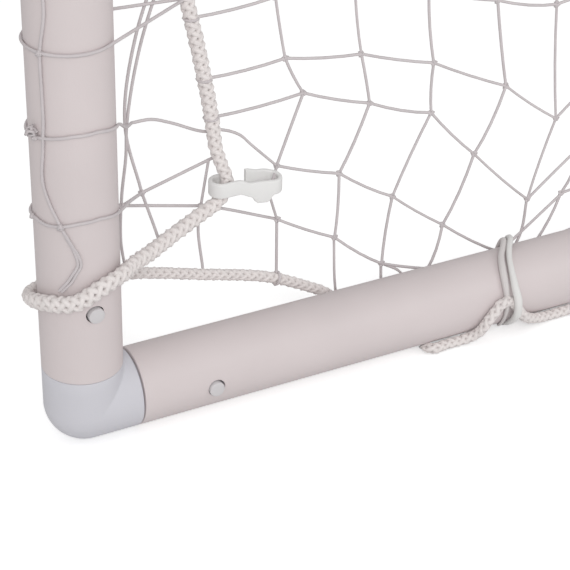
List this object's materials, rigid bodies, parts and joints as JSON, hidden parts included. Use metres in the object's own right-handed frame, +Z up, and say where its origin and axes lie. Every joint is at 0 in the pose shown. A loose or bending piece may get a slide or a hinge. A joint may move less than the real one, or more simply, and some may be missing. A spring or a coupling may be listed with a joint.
{
  "type": "folding soccer goal",
  "caption": "Free-standing tube goal with a mouth frame, ground bars that fold in behind it, snap-button elbows and a sloped net with side panels.",
  "frame": {"origin": "middle of the footprint, on the ground", "axes": "+X to the right seen from the front, +Y to the rear, away from the mouth, +Z up"},
  "size_m": [1.9764, 0.9543, 1.2831],
  "materials": {
    "tube_white": "smooth, slightly satin",
    "elbow_white": "moulded, satin",
    "button_white": "moulded, satin",
    "clip_white": "moulded, satin",
    "rope_white": "braided cord",
    "twine_white": "knotted twine",
    "spring_steel": "plain strip"
  },
  "bodies": {
    "frame": {"back_net": "twine_white", "crossbar": "tube_white", "crossbar_tie_1": "clip_white", "crossbar_tie_2": "clip_white", "crossbar_tie_3": "clip_white", "head_rope": "rope_white", "hem_rope": "rope_white", "left_crossbar_spring": "spring_steel", "left_post": "tube_white", "left_post_head_spring": "spring_steel", "left_top_elbow": "elbow_white", "right_crossbar_spring": "spring_steel", "right_post": "tube_white", "right_post_head_spring": "spring_steel", "right_top_elbow": "elbow_white"},
    "left_side": {"left_bottom_elbow": "elbow_white", "left_bar_spring": "spring_steel", "left_post_foot_spring": "spring_steel", "left_side_bar": "tube_white", "left_end_cap": "elbow_white", "left_side_net": "twine_white", "left_border_rope": "rope_white", "left_ground_rope": "rope_white", "left_bar_tie_1": "clip_white", "left_bar_tie_2": "clip_white", "left_post_tie_1": "clip_white", "left_post_tie_2": "clip_white", "left_net_clip": "clip_white"},
    "right_side": {"right_bottom_elbow": "elbow_white", "right_bar_spring": "spring_steel", "right_post_foot_spring": "spring_steel", "right_side_bar": "tube_white", "right_end_cap": "elbow_white", "right_side_net": "twine_white", "right_border_rope": "rope_white", "right_ground_rope": "rope_white", "right_bar_tie_1": "clip_white", "right_bar_tie_2": "clip_white", "right_post_tie_1": "clip_white", "right_post_tie_2": "clip_white", "right_net_clip": "clip_white"},
    "left_bar_button": {"left_bar_button": "button_white"},
    "left_crossbar_button": {"left_crossbar_button": "button_white"},
    "left_post_foot_button": {"left_post_foot_button": "button_white"},
    "left_post_head_button": {"left_post_head_button": "button_white"},
    "right_bar_button": {"right_bar_button": "button_white"},
    "right_crossbar_button": {"right_crossbar_button": "button_white"},
    "right_post_foot_button": {"right_post_foot_button": "button_white"},
    "right_post_head_button": {"right_post_head_button": "button_white"}
  },
  "joints": [
    {"name": "left_side_fold", "type": "hinge", "parent": "frame", "child": "left_side", "pos_m": [-0.94489, -0.43697, 0], "axis": [0, 0, -1], "range_deg": [0, 90], "deforming": ["back_net", "hem_rope", "left_border_rope"]},
    {"name": "right_side_fold", "type": "hinge", "parent": "frame", "child": "right_side", "pos_m": [0.94489, -0.43697, 0], "axis": [0, 0, 1], "range_deg": [0, 90], "deforming": ["right_border_rope"]},
    {"name": "left_post_foot_press", "type": "slide", "parent": "frame", "child": "left_post_foot_button", "axis": [1, 0, 0], "range_m": [0, 0.0045], "stiffness_N_per_m": 400},
    {"name": "left_bar_press", "type": "slide", "parent": "left_side", "child": "left_bar_button", "axis": [1, 0, 0], "range_m": [0, 0.0045], "stiffness_N_per_m": 400, "deforming": ["left_bar_spring"]},
    {"name": "left_post_head_press", "type": "slide", "parent": "frame", "child": "left_post_head_button", "axis": [0, -1, 0], "range_m": [0, 0.0045], "stiffness_N_per_m": 400, "deforming": ["left_post_head_spring"]},
    {"name": "left_crossbar_press", "type": "slide", "parent": "frame", "child": "left_crossbar_button", "axis": [0, -1, 0], "range_m": [0, 0.0045], "stiffness_N_per_m": 400, "deforming": ["left_crossbar_spring"]},
    {"name": "right_post_foot_press", "type": "slide", "parent": "frame", "child": "right_post_foot_button", "axis": [-1, 0, 0], "range_m": [0, 0.0045], "stiffness_N_per_m": 400},
    {"name": "right_bar_press", "type": "slide", "parent": "right_side", "child": "right_bar_button", "axis": [-1, 0, 0], "range_m": [0, 0.0045], "stiffness_N_per_m": 400, "deforming": ["right_bar_spring"]},
    {"name": "right_post_head_press", "type": "slide", "parent": "frame", "child": "right_post_head_button", "axis": [0, -1, 0], "range_m": [0, 0.0045], "stiffness_N_per_m": 400, "deforming": ["right_post_head_spring"]},
    {"name": "right_crossbar_press", "type": "slide", "parent": "frame", "child": "right_crossbar_button", "axis": [0, -1, 0], "range_m": [0, 0.0045], "stiffness_N_per_m": 400, "deforming": ["right_crossbar_spring"]}
  ],
  "couplings": [
    {"joint": "right_side_fold", "follows": "left_side_fold", "ratio": 1}
  ]
}
